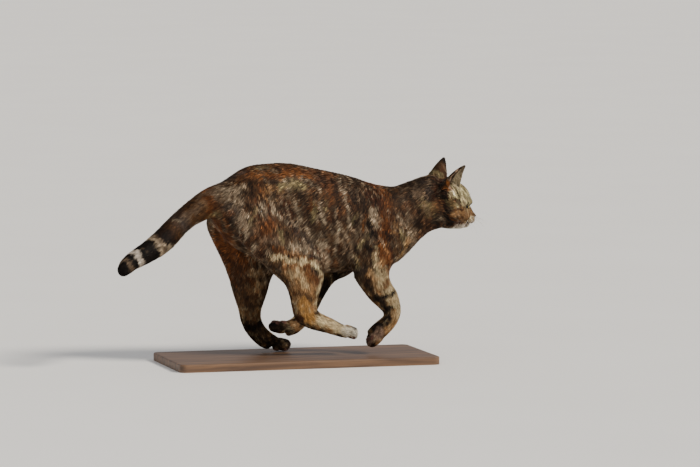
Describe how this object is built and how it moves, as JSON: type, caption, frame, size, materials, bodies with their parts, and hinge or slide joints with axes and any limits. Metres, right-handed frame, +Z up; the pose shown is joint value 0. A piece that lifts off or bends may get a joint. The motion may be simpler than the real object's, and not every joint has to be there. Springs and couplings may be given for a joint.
{
  "type": "running cat model",
  "caption": "Life-size still model of a short-haired cat at a full run, its far hind foot down, on a plain flat base.",
  "frame": {"origin": "middle of the underside of the base", "axes": "+X the way the cat runs, +Y the cat's left, +Z up"},
  "size_m": [0.576, 0.18, 0.3017],
  "materials": {
    "coat": "short matt fur, tabby and tortoiseshell",
    "eye": "wet, glossy",
    "base": "dark oiled hardwood"
  },
  "bodies": {
    "root": {"head": "coat", "ear_r": "coat", "ear_l": "coat", "eye_r": "eye", "eye_l": "eye", "neck": "coat", "chest": "coat", "abdomen": "coat", "rump": "coat", "tail_1": "coat", "tail_2": "coat", "tail_3": "coat", "tail_4": "coat", "upper_arm_r": "coat", "upper_arm_l": "coat", "forearm_r": "coat", "forearm_l": "coat", "forepaw_r": "coat", "forepaw_l": "coat", "thigh_r": "coat", "thigh_l": "coat", "shank_r": "coat", "shank_l": "coat", "hindfoot_r": "coat", "hindfoot_l": "coat", "stand_base": "base"}
  },
  "joints": []
}
